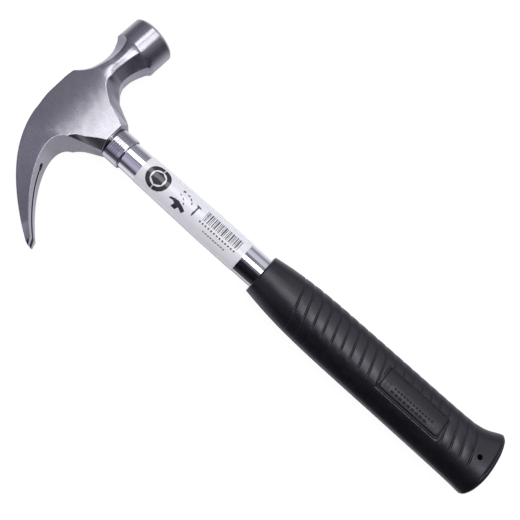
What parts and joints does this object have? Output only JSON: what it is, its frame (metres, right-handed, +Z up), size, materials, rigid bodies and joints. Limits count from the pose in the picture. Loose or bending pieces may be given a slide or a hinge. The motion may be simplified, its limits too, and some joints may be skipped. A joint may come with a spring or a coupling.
{
  "type": "claw hammer",
  "caption": "Claw hammer with a waisted round poll, a curved split claw and a chromed tube handle in a grooved rubber grip.",
  "frame": {"origin": "middle of the bounding box at its lowest level: the surface on which the hammer lies on its side", "axes": "+X along the handle from the head to the butt, +Y towards the striking face, +Z up through the cheeks of the head"},
  "size_m": [0.3192, 0.137, 0.028],
  "materials": {
    "forged_steel": "forged steel, ground and clear-lacquered, fine brush marks",
    "chrome_plate": "bright chrome plate",
    "printed_film": "thin printed film, satin gloss",
    "hardwood": "plain hardwood end grain",
    "black_rubber": "moulded black rubber, satin",
    "black_plastic": "moulded black plastic"
  },
  "bodies": {
    "root": {"hammer_head": "forged_steel", "handle_tube": "chrome_plate", "neck_ferrule": "chrome_plate", "eye_plug": "hardwood", "eye_wedge": "forged_steel", "label_sleeve": "printed_film", "grip": "black_rubber", "tube_end_plug": "black_plastic"}
  },
  "joints": []
}
